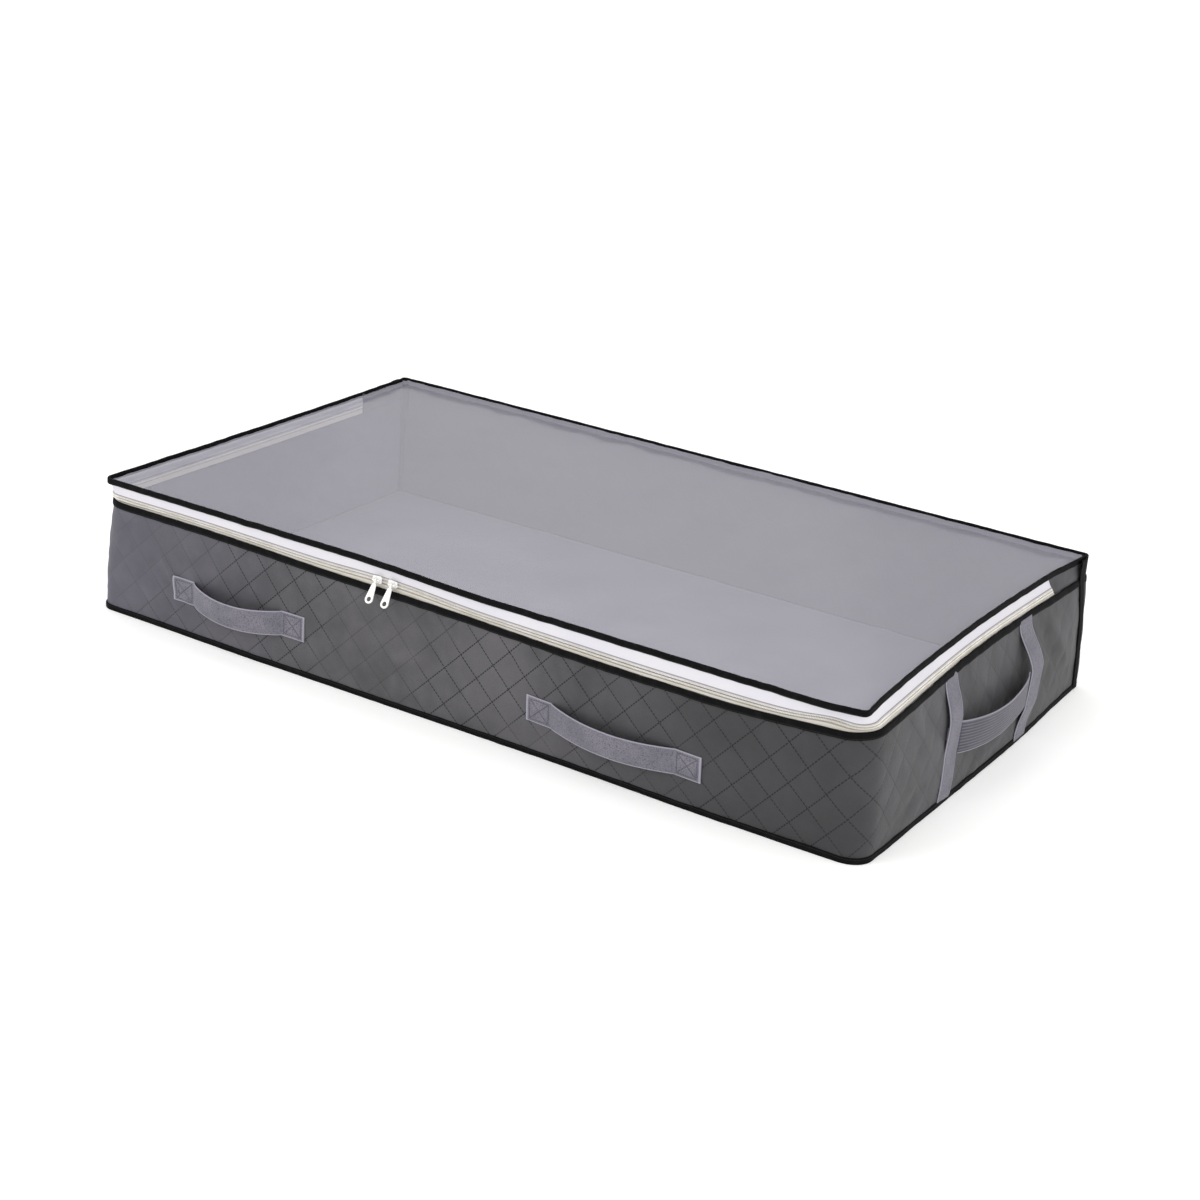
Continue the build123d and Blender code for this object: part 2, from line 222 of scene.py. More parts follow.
# Soft folds: where each one starts and ends, run and height, its half width, and its height.
folds = (
    ((0.150, 0.126), (0.205, 0.060), 0.006, 0.0016),
    ((0.165, 0.128), (0.235, 0.085), 0.005, -0.0014),
    ((0.095, 0.124), (0.075, 0.070), 0.006, -0.0012),
    ((0.395, 0.122), (0.455, 0.070), 0.007, 0.0018),
    ((0.420, 0.126), (0.485, 0.085), 0.006, -0.0016),
    ((0.470, 0.110), (0.500, 0.030), 0.009, -0.0030),
    ((0.440, 0.118), (0.470, 0.040), 0.008, 0.0024),
    ((-0.402, 0.088), (-0.350, 0.026), 0.005, 0.0016),
    ((-0.392, 0.060), (-0.335, 0.020), 0.004, -0.0012),
    ((-0.455, 0.118), (-0.480, 0.040), 0.007, -0.0014),
    ((-0.420, 0.020), (-0.350, 0.035), 0.008, 0.0010),
    ((-0.130, 0.018), (-0.050, 0.040), 0.009, -0.0010),
    ((0.010, 0.110), (0.040, 0.030), 0.009, 0.0010),
    ((0.330, 0.016), (0.420, 0.034), 0.008, -0.0012),
    ((0.590, 0.120), (0.640, 0.060), 0.010, 0.0036),
    ((0.615, 0.120), (0.672, 0.075), 0.008, -0.0030),
    ((0.560, 0.020), (0.640, 0.050), 0.011, -0.0026),
    ((0.745, 0.118), (0.800, 0.085), 0.009, 0.0028),
    ((0.760, 0.012), (0.850, 0.035), 0.010, 0.0030),
    ((0.940, 0.118), (0.985, 0.060), 0.011, -0.0032),
    ((0.965, 0.112), (1.030, 0.040), 0.011, 0.0034),
    ((-0.590, 0.118), (-0.640, 0.050), 0.009, 0.0020),
    ((-0.780, 0.016), (-0.860, 0.044), 0.009, -0.0016),
    ((-0.950, 0.116), (-1.020, 0.040), 0.010, 0.0020),
)


def folded(run, height):
    """How far the folds and the fabric's own unevenness move it outwards."""
    moved = 0.0
    for (run_a, height_a), (run_b, height_b), width, rise in folds:
        if min(run_a, run_b) - 0.03 < run < max(run_a, run_b) + 0.03:
            along_run, along_height = run_b - run_a, height_b - height_a
            share = (run - run_a) * along_run + (height - height_a) * along_height
            near = min(1.0, max(0.0, share / (along_run**2 + along_height**2)))
            off = math.hypot(run - run_a - near * along_run, height - height_a - near * along_height)
            moved += rise * math.exp(-((off / width) ** 2)) * ease(1.25 - near)
    moved += 0.0016 * noise.noise(Vector((run * 6, height * 9, 1.7)))
    moved += 0.0007 * noise.noise(Vector((run * 22, height * 20, 5.3)))
    return moved


def puckered(run, off_seam, seed):
    """The small gathers beside a stitched seam, off_seam metres from it."""
    return 0.0005 * noise.noise(Vector((run * 95, seed, 0.4))) * math.exp(-off_seam / 0.012)


# The embossed diamonds: where one crossing of their lines lies, and a diamond's width and height.
crossing_run, crossing_height = -0.1486, 0.0929
diamond_run, diamond_height = 0.042, 0.0446


def diamond(run, height):
    """0 on the embossed lines, 1 in the middle of a diamond."""
    across, rise = (run - crossing_run) / diamond_run, (height - crossing_height) / diamond_height
    off = min(abs(d - round(d)) for d in (across + rise, across - rise))
    return math.sin(math.pi * off)


def wall_swell(run, height):
    """How far outside its seam line the wall's outer face stands, at this height."""
    rim, rim_swell = rim_place(run)
    share = min(1.0, max(0.0, height / rim))
    calm, held = math.sin(math.pi * share), ease((wall_reach - abs(run) - 0.014) / 0.03)
    soft = 0.003 * calm + folded(run, height) * calm**0.6
    soft += puckered(run, height, 0.0) + puckered(run, rim - height, 9.0)
    return mix(foot_swell(run), rim_swell, share**1.4) + soft * held


def corner_at(height):
    """The radius of the front corners, which are tighter at the foot than at the rim."""
    return mix(0.018, 0.032, height / rim_level)


def cloth(columns, rows, place, flat):
    """A grid of quads moved to place(u, v), with a map of its own in metres from flat(u, v)."""
    shape = bmesh.new()
    bmesh.ops.create_grid(shape, x_segments=columns, y_segments=rows, size=0.5)
    own_map = shape.loops.layers.uv.new("cloth")
    for face in shape.faces:
        for loop in face.loops:
            loop[own_map].uv = flat(loop.vert.co.x + 0.5, loop.vert.co.y + 0.5)
    for corner in shape.verts:
        corner.co = place(corner.co.x + 0.5, corner.co.y + 0.5)
    return shape


def piece(name, shape, finish, stands_for, body=None, thickness=0.0):
    """Makes a shape one of the bag's pieces. A sheet gets its thickness behind its outer face."""
    mesh = bpy.data.meshes.new(name)
    shape.to_mesh(mesh)
    shape.free()
    made = bpy.data.objects.new(name, mesh)
    scene.collection.objects.link(made)
    mesh.materials.append(finish)
    mesh.shade_smooth()
    if thickness:
        layer = made.modifiers.new("thickness", "SOLIDIFY")
        layer.thickness = thickness
        layer.offset = -1
    if body:
        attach(made, body)
    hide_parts(*stands_for)
    return made


def add(finish, kind, inputs=None, **settings):
    """Adds a node to a material, and sets or links its inputs."""
    made = finish.node_tree.nodes.new("ShaderNode" + kind)
    for setting, value in settings.items():
        setattr(made, setting, value)
    for socket, value in (inputs or {}).items():
        if isinstance(value, bpy.types.NodeSocket):
            finish.node_tree.links.new(value, made.inputs[socket])
        else:
            made.inputs[socket].default_value = value
    return made


def math_of(finish, operation, a, b=0.0):
    """The result of one math node."""
    return add(finish, "Math", {0: a, 1: b}, operation=operation).outputs[0]


def stepped(finish, value, low, high, to_low=0.0, to_high=1.0):
    """A smooth change from to_low to to_high as value goes from low to high."""
    inputs = {"Value": value, "From Min": low, "From Max": high, "To Min": to_low, "To Max": to_high}
    return add(finish, "MapRange", inputs, interpolation_type="SMOOTHSTEP").outputs["Result"]


def tinted(finish, share, plain, other):
    """A colour between two, each a colour or another node's."""
    return add(finish, "Mix", {0: share, 6: plain, 7: other}, data_type="RGBA").outputs[2]


def coat(finish, base, relief, distance, strength=0.6):
    """Gives the material's shader its colour and its relief."""
    shader = finish.node_tree.nodes["Principled BSDF"]
    finish.node_tree.links.new(base, shader.inputs["Base Color"])
    bump = add(finish, "Bump", {"Height": relief, "Distance": distance, "Strength": strength})
    finish.node_tree.links.new(bump.outputs[0], shader.inputs["Normal"])


def own_spot(finish):
    """A place on the piece's own map, in metres: X along it, Y across it or up it."""
    own_map = add(finish, "UVMap", uv_map="cloth").outputs["UV"]
    return add(finish, "SeparateXYZ", {0: own_map}).outputs


def speckle(finish, scale, detail=2.0):
    """Noise that is fixed to the piece."""
    where = add(finish, "TexCoord").outputs["Object"]
    return add(finish, "TexNoise", {"Vector": where, "Scale": scale, "Detail": detail}).outputs["Fac"]


def non_woven(name, light, dark, embossed):
    """Non-woven fabric: a fine dimpled grain, uneven in tone, with or without the diamonds; the embossed one
    also gets painted light and shade along the bag.
    """
    finish = material(name, Roughness=0.66, Sheen_Weight=0.08, Sheen_Roughness=0.4, Specular_IOR_Level=0.3)
    grain, patches = speckle(finish, 900.0), speckle(finish, 9.0, 3.0)
    base = tinted(finish, stepped(finish, patches, 0.3, 0.7), dark, light)
    pale = stepped(finish, speckle(finish, 45.0, 4.0), 0.35, 0.75, 0.0, 0.22)
    base = tinted(finish, pale, base, colour(108, 106, 109))
    base = tinted(finish, stepped(finish, grain, 0.48, 0.30, 0.0, 0.25), base, colour(50, 49, 52))
    relief = math_of(finish, "ADD", math_of(finish, "MULTIPLY", grain, 0.3), speckle(finish, 38.0, 3.0))
    if embossed:
        spot = own_spot(finish)
        across = math_of(finish, "SUBTRACT", spot["X"], crossing_run)
        across = math_of(finish, "DIVIDE", across, diamond_run)
        rise = math_of(finish, "SUBTRACT", spot["Y"], crossing_height)
        rise = math_of(finish, "DIVIDE", rise, diamond_height)
        one, other = math_of(finish, "ADD", across, rise), math_of(finish, "SUBTRACT", across, rise)
        # Painted light and shade: the left of the bag is painted lighter and bluer, and the right of its
        # front and its right end painted darker; the back panel, mapped from 1.2 on, gets the right end's
        # painted shade too.
        base = tinted(finish, stepped(finish, spot["X"], -0.52, -0.12, 0.40, 0.0), base, colour(98, 96, 114))
        painted_shade = stepped(finish, spot["X"], 0.02, 0.40, 0.0, 0.72)
        painted_shade = math_of(finish, "MULTIPLY", painted_shade, stepped(finish, spot["X"], 0.47, 0.56, 1.0, 0.40))
        base = tinted(finish, painted_shade, base, colour(44, 43, 45))
        # Each diamond has a tone of its own.
        which = {0: math_of(finish, "FLOOR", one), 1: math_of(finish, "FLOOR", other)}
        cell = add(finish, "CombineXYZ", which).outputs[0]
        tone = add(finish, "TexWhiteNoise", {"Vector": cell}).outputs["Value"]
        base = tinted(finish, math_of(finish, "MULTIPLY", tone, 0.16), base, colour(60, 59, 62))
        lines = None
        for line, along in ((one, other), (other, one)):
            off = math_of(finish, "PINGPONG", line, 0.5)
            dash = math_of(finish, "PINGPONG", math_of(finish, "MULTIPLY", along, 7.6), 0.5)
            drawn = math_of(
                finish, "MULTIPLY", stepped(finish, off, 0.028, 0.014), stepped(finish, dash, 0.09, 0.15)
            )
            lines = drawn if lines is None else math_of(finish, "MAXIMUM", lines, drawn)
        # The dashes are faint on the ends and at the far left, and worn in patches.
        ends = stepped(finish, math_of(finish, "ABSOLUTE", spot["X"]), 0.43, 0.60, 1.0, 0.35)
        far_left = stepped(finish, spot["X"], -0.46, -0.20, 0.45, 1.0)
        worn = stepped(finish, speckle(finish, 6.0, 2.0), 0.36, 0.55, 0.35, 1.0)
        drawn = math_of(finish, "MULTIPLY", lines, math_of(finish, "MULTIPLY", ends, worn))
        drawn = math_of(finish, "MULTIPLY", drawn, far_left)
        base = tinted(finish, drawn, base, colour(24, 24, 28))
        relief = math_of(finish, "SUBTRACT", math_of(finish, "MULTIPLY", relief, 2.6), drawn)
    coat(finish, base, relief, 0.0006 if embossed else 0.0002)
    return finish


wall_fabric = non_woven("wall_fabric", colour(88, 86, 89), colour(70, 69, 71), True)
lining = non_woven("plain_fabric", colour(112, 110, 120), colour(98, 96, 106), False)
wall_foot = 0.0015


def wall_corner(u, v):
    run = mix(-wall_reach, wall_reach, u)
    height = mix(wall_foot, rim_place(run)[0], v)
    raised = 0.0009 * diamond(run, height) * math.sin(math.pi * v) ** 0.5
    spot = around(run, wall_swell(run, height) + raised, front=corner_at(height))[0]
    spot.z = height
    return spot


def wall_map(u, v):
    return mix(-wall_reach, wall_reach, u), wall_foot + v * wall_flat[1]


wall_flat = (2 * wall_reach, rim_level - wall_foot)
shape = cloth(840, 50, wall_corner, wall_map)
walls = piece("embossed_wall", shape, wall_fabric, ["wrap_wall"], "bag", 0.0014)


def back_corner(u, v):
    across, height = mix(-1, 1, u), mix(wall_foot, lid_level - 0.002, v)
    calm = math.sin(math.pi * v) ** 0.7 * (1 - abs(across) ** 8)
    run = across * 0.49
    swell = (0.003 + 2 * folded(run - 1.6, height) + 0.001 * diamond(run, height)) * calm
    swell += puckered(run, height, 21.0) * calm
    x = -across * (half_length - 0.0008)
    return Vector((x + back_lean(x, height), half_width - 0.0004 + swell, height))


back_flat = (2 * half_length, lid_level - 0.0035)
shape = cloth(260, 50, back_corner, lambda u, v: (1.2 + u * back_flat[0], wall_foot + v * back_flat[1]))
back_panel = piece("back_panel", shape, wall_fabric, ["back_wall"], "bag", 0.0012)

# Bottom: one layer of the same fabric, unembossed, sewn to the foot of the walls. It lies on the
# floor, with faint crossways creases from how it was folded in the shop.


def floor_corner(u, v):
    x, y = mix(-1, 1, u), mix(-1, 1, v)
    plan = Vector((x * (half_length - 0.0016), y * (half_width - 0.0016), 0))
    crease = sum(math.exp(-(((plan.x - at) / 0.012) ** 2)) for at in (-0.25, 0.0, 0.25))
    lift = 0.0012 * crease + 0.0012 * max(0.0, noise.noise(plan * 7) + 0.3) * (1 - x**8) * (1 - y**8)
    corner = 0.018
    past_x, past_y = abs(plan.x) - (half_length - corner), -plan.y - (half_width - corner)
    reach = Vector((max(0.0, past_x), max(0.0, past_y)))
    if min(reach) > 0:
        pull = max(0.0, reach.length - 0.0165) / reach.length
        plan.x -= math.copysign(reach.x * pull, plan.x)
        plan.y += reach.y * pull
    flare = foot_swell(math.copysign(max(front_run + corner_run, run_at(plan.y)), plan.x)) * abs(x) ** 6
    plan.y -= foot_swell(min(front_run, max(-front_run, plan.x))) * ((1 - y) / 2) ** 6
    return Vector((plan.x + math.copysign(flare, plan.x), plan.y, 0.0014 + lift))


shape = cloth(240, 140, floor_corner, lambda u, v: (u * 2 * half_length, v * 2 * half_width))
bottom = piece("bottom_cloth", shape, lining, ["bottom_panel"], "bag", 0.0012)

# Bindings on the bag: black tape folded over each seam and stitched through. One goes all round
# the foot, one along the top of the wall, and one is wrapped round each back corner.


def tube(stations, sides, place, length, wide, square=0.45, backwards=False):
    """A closed flat form of many stations, each one a ring of corners at place(u, angle). Its map
    runs along it, and across from its top edge, down its outer face and up its inner one."""

    def flat(u, v):
        across = math.cos(2 * math.pi * v)
        across = math.copysign(abs(across) ** square, across)
        along = length * (1 - u if backwards else u)
        return along, wide * (1 - across) / 2 if v <= 0.5 else wide * (3 + across) / 2

    shape = cloth(stations, sides, lambda u, v: place(u, 2 * math.pi * v), flat)
    bmesh.ops.remove_doubles(shape, verts=shape.verts, dist=1e-6)
    bmesh.ops.holes_fill(shape, edges=[e for e in shape.edges if e.is_boundary])
    bmesh.ops.recalc_face_normals(shape, faces=shape.faces)
    return shape


def flat_ring(angle, half_wide, half_thick, square=0.45):
    """A corner of a strap's section: along its width, and through its thickness."""
    wide, thick = math.cos(angle), math.sin(angle)
    return (
        half_wide * math.copysign(abs(wide) ** square, wide),
        half_thick * math.copysign(abs(thick) ** square, thick),
    )


def stitched(finish, spot, rows):
    """1 on stitches in rows this far down from the tape's top edge."""
    stitch_pitch = 0.0028
    dash = math_of(finish, "PINGPONG", math_of(finish, "DIVIDE", spot["X"], stitch_pitch), 0.5)
    stitch = stepped(finish, dash, 0.08, 0.14)
    drawn = None
    for row in rows:
        off = math_of(finish, "ABSOLUTE", math_of(finish, "SUBTRACT", spot["Y"], row))
        thread = math_of(finish, "MULTIPLY", stepped(finish, off, 0.0005, 0.0002), stitch)
        drawn = thread if drawn is None else math_of(finish, "MAXIMUM", drawn, thread)
    return drawn


def edge_tape(name, rows):
    """Black folded tape, with a fine rib across it and rows of stitches along it."""
    finish = material(name, Roughness=0.78, Specular_IOR_Level=0.1)
    spot = own_spot(finish)
    rib = math_of(finish, "PINGPONG", math_of(finish, "DIVIDE", spot["X"], 0.0009), 0.5)
    thread = stitched(finish, spot, rows)
    wear = stepped(finish, speckle(finish, 120.0, 3.0), 0.45, 0.75)
    base = tinted(finish, wear, colour(7, 7, 8), colour(17, 17, 19))
    base = tinted(finish, thread, base, colour(34, 34, 36))
    ribs, threads = math_of(finish, "MULTIPLY", rib, 0.5), math_of(finish, "MULTIPLY", thread, 1.2)
    coat(finish, base, math_of(finish, "ADD", ribs, threads), 0.0003)
    return finish


def wavy(run, seed):
    """How far a sewn tape wanders from its seam."""
    fine = 0.0004 * noise.noise(Vector((run * 60, seed, 2.2)))
    return fine + 0.0004 * noise.noise(Vector((run * 17, seed, 7.1)))


foot_tape = edge_tape("foot_binding_tape", (0.0015,))
# A rounded back corner makes the way round longer by this share of its radius.
rounding_adds = 0.57
half_round = wall_reach + half_length + rounding_adds * 0.006


def foot_ring(u, angle):
    run = mix(-half_round, half_round, u)
    rise, out = flat_ring(angle, 0.0035, 0.0013)
    flare = foot_swell(run) if abs(run) <= wall_reach else 0.0
    spot = around(run, 0.0007 + out + wavy(run, 1.0) + flare, front=0.018, back=0.006)[0]
    if abs(run) > wall_reach:
        spot.x += back_lean(spot.x, 0.0)
    spot.z = max(0.00005, 0.0035 + rise + (wavy(run, 3.0) if rise > 0 else 0.0))
    return spot


shape = tube(1100, 12, foot_ring, 2 * half_round, 0.007)
piece("foot_binding", shape, foot_tape, ["bottom_binding"], "bag")

rim_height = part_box("rim_binding")[1].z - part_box("rim_binding")[0].z
rim_tape = edge_tape("rim_binding_tape", (0.0060,))


def rim_ring(u, angle):
    run = mix(-wall_reach + 0.004, wall_reach - 0.004, u)
    height = rim_place(run)[0]
    rise, out = flat_ring(angle, rim_height / 2 + 0.0002, 0.0014)
    level = height - rim_height / 2 + rise
    lie = wall_swell(run, min(level, height))
    spot = around(run, lie + 0.0004 + out + wavy(run, 5.0), front=corner_at(level))[0]
    spot.z = level + wavy(run, 8.0)
    return spot


shape = tube(900, 12, rim_ring, 2 * wall_reach, rim_height)
piece("top_of_wall_binding", shape, rim_tape, ["rim_binding"], "bag")

corner_tape = edge_tape("corner_binding_tape", (0.002, 0.034))
for side, direction in (("left", -1), ("right", 1)):

    def corner_ring(u, angle):
        height = mix(0.002, lid_level - 0.0015, u)
        half_wide = 0.0155 + 0.0110 * ease((u - 0.50) / 0.45) + 0.002 * (1 - u)
        half_wide += 2 * wavy(height * 3, direction)
        along, out = flat_ring(angle, half_wide, 0.0010, 0.35)
        spot = around(direction * (wall_reach + 0.0035 - along), 0.0017 + out, back=0.0045)[0]
        spot.x += back_lean(spot.x, height)
        spot.z = height
        return spot

    shape = tube(90, 34, corner_ring, lid_level, 0.036, 0.35)
    name = f"corner_wrap_{side}"
    piece(name, shape, corner_tape, [f"corner_binding_{side}"], "bag")

# Zipper: two woven polyester tapes, each with a row of nylon coil, that meet under the lid's edge.
# The lower tape is sewn inside the rim and the upper one to the lid. Behind each end of the
# zipper a plain dark tab fills the gap to the back corner.

coil_level = (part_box("lower_zipper_coil")[1].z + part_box("upper_zipper_coil")[0].z) / 2
lid_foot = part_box("lid_binding")[0].z
parked = (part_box("zipper_slider_left")[0].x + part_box("zipper_slider_right")[1].x) / 2
right_slider_rest = 0.076
right_travel = max(j["range_m"][1] for j in frame["joints"] if j["name"] == "slider_right_travel")
run_end = right_travel - right_slider_rest
meet_level = 0.30


def straight(run):
    """Near the sliders' resting and end places the coil keeps to its straight line."""
    resting = math.exp(-(((run - parked) / 0.07) ** 2))
    return min(1.0, resting + math.exp(-(((abs(run) - run_end) / 0.03) ** 2)))


def band_place(run, level):
    """Height and swell in the zipper band: level is 0 at the rim, meet_level where the coils meet
    and 1 at the lid's binding. The foot drops near the sliders' places, to clear their posts."""
    rim, rim_swell = rim_place(run)
    sag, lid_swell = lid_place(run)
    low, high = rim - 0.002, lid_foot - sag + 0.003
    meet = mix(low, high, meet_level)
    hold = straight(run)
    meet = mix(meet, coil_level, hold)
    low = mix(low, min(low, coil_level - 0.0095), hold)
    meet_swell = mix(mix(rim_swell, lid_swell, meet_level), 0.0, hold)
    if level < meet_level:
        share = level / meet_level
        return mix(low, meet, share), mix(rim_swell, meet_swell, share)
    share = (level - meet_level) / (1 - meet_level)
    dish = 0.0012 * math.sin(math.pi * share)
    return mix(meet, high, share), mix(meet_swell, lid_swell, share) - dish


def band_spot(run, level, out):
    """A place in the zipper band, out metres outside its face, and the way that it faces."""
    height, swell = band_place(run, level)
    uneven = 0.0005 * noise.noise(Vector((run * 12, level * 2, 4.4)))
    spot, facing = around(run, swell + out + uneven, front=mix(0.031, 0.012, level))
    spot.z = height
    return spot, facing


def tape_spot(run, level, out):
    """A place on a tape or a tab, whose foot hangs straight down behind the rim."""
    return band_spot(run, max(0.0, level), out)[0] + Vector((0, 0, 0.02 * min(0.0, level)))


zip_reach = run_at(fold_line)
woven = material("zipper_tape", Roughness=0.7, Sheen_Weight=0.1, Specular_IOR_Level=0.3)
spot_on = own_spot(woven)
slant = math_of(woven, "PINGPONG", math_of(woven, "DIVIDE", spot_on["Y"], 0.0022), 0.5)
picks = math_of(woven, "DIVIDE", spot_on["X"], 0.0011)
twill = math_of(woven, "PINGPONG", math_of(woven, "ADD", picks, math_of(woven, "MULTIPLY", slant, 2.0)), 0.5)
above_coil = stepped(woven, spot_on["Y"], 0.0062, 0.0080)
tape_base = tinted(woven, above_coil, colour(212, 205, 191), colour(214, 212, 219))
patches = stepped(woven, speckle(woven, 14.0), 0.35, 0.65, 0.0, 0.3)
tape_base = tinted(woven, patches, tape_base, colour(226, 223, 224))
tape_base = tinted(woven, math_of(woven, "MULTIPLY", twill, 0.22), tape_base, colour(176, 173, 180))
# Painted shadows: a thin grey line along each edge of the coil, on the tape.
for row, dark in ((0.0045, 0.75), (0.0103, 0.85)):
    off_painted_shadow = math_of(woven, "ABSOLUTE", math_of(woven, "SUBTRACT", spot_on["Y"], row))
    line = stepped(woven, off_painted_shadow, 0.0008, 0.0003, 0.0, dark)
    tape_base = tinted(woven, line, tape_base, colour(128, 124, 126))
coat(woven, tape_base, twill, 0.0002)

band, tape_foot, tape_top = 0.0247, -0.12, 1.08
for name, low, high, body, node in (
    ("lower_tape", tape_foot, 0.285, "bag", "lower_zipper_tape"),
    ("upper_tape", 0.315, tape_top, "lid", "upper_zipper_tape"),
):

    def tape_corner(u, v):
        level = mix(low, high, v)
        end = zip_reach - 0.0006 - 0.008 * max(0.0, level)
        return tape_spot(mix(-end, end, u), level, -0.0016 - 0.003 * max(0.0, -level))

    tape_flat = (2 * zip_reach - 0.009, (high - low) * band)
    shape = cloth(760, 8, tape_corner, lambda u, v: (u * tape_flat[0], mix(low, high, v) * band))
    tape = piece(name, shape, woven, [node], body, 0.0007)

coil_finish = material("nylon_coil", Roughness=0.35, Specular_IOR_Level=0.5)
coil_tone = stepped(coil_finish, speckle(coil_finish, 60.0), 0.4, 0.6)
coil_base = tinted(coil_finish, coil_tone, colour(230, 226, 216), colour(240, 237, 231))
coat(coil_finish, coil_base, speckle(coil_finish, 1500.0), 0.0001)
tooth_pitch = 0.0016
for name, level, body, node in (
    ("lower_coil", 0.246, "bag", "lower_zipper_coil"),
    ("upper_coil", 0.354, "lid", "upper_zipper_coil"),
):
    shape = bmesh.new()
    teeth = int(2 * (zip_reach - 0.005) / tooth_pitch)
    for tooth in range(teeth):
        run = (tooth + 0.5 - teeth / 2) * tooth_pitch
        spot, facing = band_spot(run, level, -0.0008)
        ahead = Vector((-facing.y, facing.x, 0))
        made = bmesh.ops.create_icosphere(shape, subdivisions=1, radius=1.0)["verts"]
        for corner in made:
            x, y, z = corner.co
            upward = Vector((0, 0, z * 0.00125))
            corner.co = spot + ahead * (x * 0.00062 + z * 0.0003) + facing * (y * 0.0009) + upward
    piece(name, shape, coil_finish, [node], body)

tab_fabric = non_woven("dark_tab_fabric", colour(76, 76, 80), colour(66, 66, 70), False)
for side, direction in (("left", -1), ("right", 1)):

    def tab_corner(u, v):
        start, end = zip_reach - 0.009, wall_reach - 0.0018
        near_zip = 1 - ease((u if direction > 0 else 1 - u) / 0.2)
        if direction < 0:
            start, end = -end, -start
        bow = 0.0015 * math.sin(math.pi * u) * math.sin(math.pi * v)
        level = mix(tape_foot, tape_top, v)
        return tape_spot(mix(start, end, u), level, -0.0016 + bow - 0.0015 * near_zip)

    tab_flat = (wall_reach - zip_reach + 0.0072, 1.14 * band)
    shape = cloth(34, 14, tab_corner, lambda u, v: (u * tab_flat[0], v * tab_flat[1]))
    stood_for = [f"zipper_end_tab_{side}"]
    tab = piece(f"end_tab_{side}", shape, tab_fabric, stood_for, "bag", 0.0009)

# Lid: a sheet of soft clear vinyl, slack enough to ripple, with black tape folded over its edge.


def lid_edge(run):
    """Sag and outward swell of the lid's edge, all the way round."""
    sag, swell = lid_place(run)
    if abs(run) > wall_reach:
        swell = 0.001
    return sag, swell


lid_tape = edge_tape("lid_binding_tape", (0.0056,))
lid_tape_height = lid_level - lid_foot
lid_round = wall_reach + half_length + rounding_adds * 0.007


def lid_ring(u, angle):
    run = mix(-lid_round, lid_round, u)
    sag, swell = lid_edge(run)
    rise, out = flat_ring(angle, lid_tape_height / 2, 0.0018)
    spot = around(run, swell - 0.0020 + out + wavy(run, 12.0), front=0.011, back=0.007)[0]
    if abs(run) > wall_reach:
        spot.x += back_lean(spot.x, lid_level)
    spot.z = lid_level - lid_tape_height / 2 - sag + rise + wavy(run, 14.0) - 0.0003
    return spot


shape = tube(1200, 14, lid_ring, 2 * lid_round, lid_tape_height)
lid_binding = piece("lid_edge_binding", shape, lid_tape, ["lid_binding", "rear_lid_binding"])
fold_start, fold_end = (0, fold_line + 0.022, lid_level), (0, fold_line - 0.022, lid_level)
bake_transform(lid_binding)
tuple(fold_start)
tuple(fold_end)

vinyl = material(
    "clear_vinyl",
    Base_Color=colour(214, 211, 226),
    Roughness=0.24,
    Alpha=0.36,
    Specular_IOR_Level=0.7,
    Coat_Weight=0.4,
    Coat_Roughness=0.16,
)
ripples = {"Height": speckle(vinyl, 10.0, 1.5), "Distance": 0.008, "Strength": 0.5}
bump = add(vinyl, "Bump", ripples)
vinyl.node_tree.links.new(bump.outputs[0], vinyl.node_tree.nodes["Principled BSDF"].inputs["Normal"])
window_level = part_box("clear_window")[0].z


def window_corner(u, v):
    x, y = mix(-1, 1, u), mix(-1, 1, v)
    half_x, half_y = half_length - 0.0026, half_width - 0.0024
    plan = Vector((x * half_x, y * half_y, 0))
    corner = 0.009
    past_x, past_y = abs(plan.x) - (half_x - corner), abs(plan.y) - (half_y - corner)
    reach = Vector((max(0.0, past_x), max(0.0, past_y)))
    if min(reach) > 0:
        pull = 1 - max(reach) / reach.length
        plan.x -= math.copysign(reach.x * pull, plan.x)
        plan.y -= math.copysign(reach.y * pull, plan.y)
    run = plan.x
    sag, swell = lid_edge(run)
    near_front = ease(1 - (y + 1) / 0.7)
    plan.y -= swell * near_front
    end_swell = lid_edge(math.copysign(run_at(min(plan.y, half_width)), plan.x))[1]
    plan.x += math.copysign(1, plan.x) * end_swell * ease((abs(x) - 0.4) / 0.6)
    off_x, off_y = (1 - abs(x)) * half_x, (1 - abs(y)) * half_y
    off = min(off_x, off_y)
    along, seed = (plan.y, 0.3) if off_x < off_y else (plan.x, 6.3)
    turned_up = 0.0052 * ease(1 - off / 0.004)
    gathers = 0.0011 * noise.noise(Vector((along * 26, seed, x))) * math.exp(-off / 0.05)
    slack = -0.004 * (1 - x * x) * (1 - y * y)
    slack += 0.0024 * noise.noise(Vector((plan.x * 4.5, plan.y * 3.5 + plan.x * 1.5, 2.0))) * ease(off / 0.08)
    slack += 0.0007 * noise.noise(Vector((plan.x * 15, plan.y * 11, 8.0))) * ease(off / 0.03)
    lift = turned_up + (gathers + slack) * ease(off / 0.012)
    return Vector((plan.x, plan.y, window_level + lift - sag * near_front**1.3))


window_flat = (2 * half_length - 0.004, 2 * half_width - 0.004)
shape = cloth(300, 180, window_corner, lambda u, v: (u * window_flat[0], v * window_flat[1]))
window = piece("vinyl_window", shape, vinyl, ["clear_window", "window_rear_strip"])
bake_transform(window)
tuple(fold_start)
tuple(fold_end)
